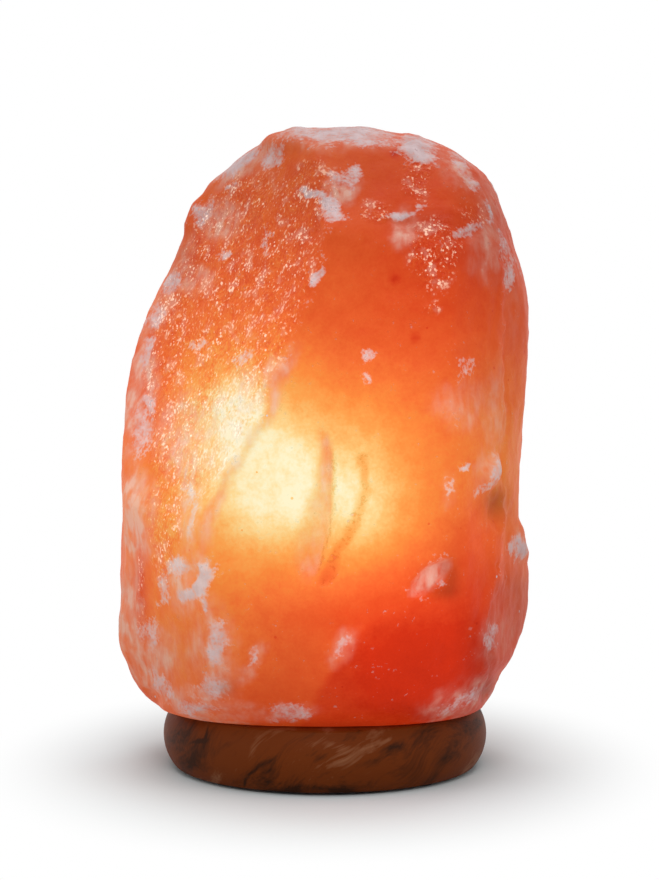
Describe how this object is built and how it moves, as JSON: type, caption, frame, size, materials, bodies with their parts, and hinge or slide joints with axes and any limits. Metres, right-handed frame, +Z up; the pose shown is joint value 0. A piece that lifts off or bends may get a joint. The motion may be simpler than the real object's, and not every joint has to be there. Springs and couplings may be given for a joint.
{
  "type": "salt crystal lamp",
  "caption": "Table lamp: a hewn, bored block of pink rock salt on a round bulged wooden base, lit from inside by a small screw-base bulb in a pull-out lampholder held by a spring clip.",
  "frame": {"origin": "centre of the base on the plane that its feet stand on", "axes": "+Z up; the crystal's broad front face looks towards -Y, and the cord's groove opens towards +Y"},
  "size_m": [0.1527, 0.132, 0.237],
  "materials": {
    "rock_salt": "satin",
    "walnut": "satin",
    "rubber": "matte",
    "zinc_plated_steel": "satin",
    "spring_steel": "satin",
    "nylon": "matte",
    "thermoplastic": "satin",
    "brass": "satin",
    "bronze": "satin",
    "clear_glass": "gloss",
    "black_glass": "gloss",
    "solder": "satin",
    "tungsten": "matte"
  },
  "bodies": {
    "lamp": {"salt_crystal": "rock_salt", "screw_anchors": "nylon", "wooden_base": "walnut", "base_screws": "zinc_plated_steel", "rubber_feet": "rubber"},
    "lampholder": {"holder_skirt": "thermoplastic", "holder_cap": "thermoplastic", "holder_core": "thermoplastic", "holder_screw_shell": "brass", "holder_centre_contact": "bronze", "contact_rivets": "brass", "terminal_blocks": "brass", "terminal_screws": "zinc_plated_steel", "cord_nipple": "thermoplastic", "cord_grip_screw": "nylon", "lock_nut": "zinc_plated_steel", "spring_clip": "spring_steel"},
    "bulb_foot": {"bulb_insulator": "black_glass", "bulb_tip_contact": "solder"},
    "bulb": {"bulb_cap": "brass", "bulb_glass": "clear_glass", "bulb_stem": "clear_glass", "bulb_lead_wires": "zinc_plated_steel", "bulb_support_wire": "tungsten", "bulb_filament": "tungsten"}
  },
  "joints": [
    {"name": "holder_pull", "type": "slide", "parent": "lamp", "child": "lampholder", "axis": [0, 0, -1], "range_m": [0, 0.125]},
    {"name": "bulb_rise", "type": "slide", "parent": "lampholder", "child": "bulb_foot", "axis": [0, 0, 1], "range_m": [0, 0.0127]},
    {"name": "bulb_turn", "type": "hinge", "parent": "bulb_foot", "child": "bulb", "pos_m": [0, 0, 0.0583], "axis": [0, 0, 1], "range_deg": [0, 1620]}
  ],
  "couplings": [
    {"joint": "bulb_rise", "follows": "bulb_turn", "m_per_rad": 0.00044913}
  ]
}
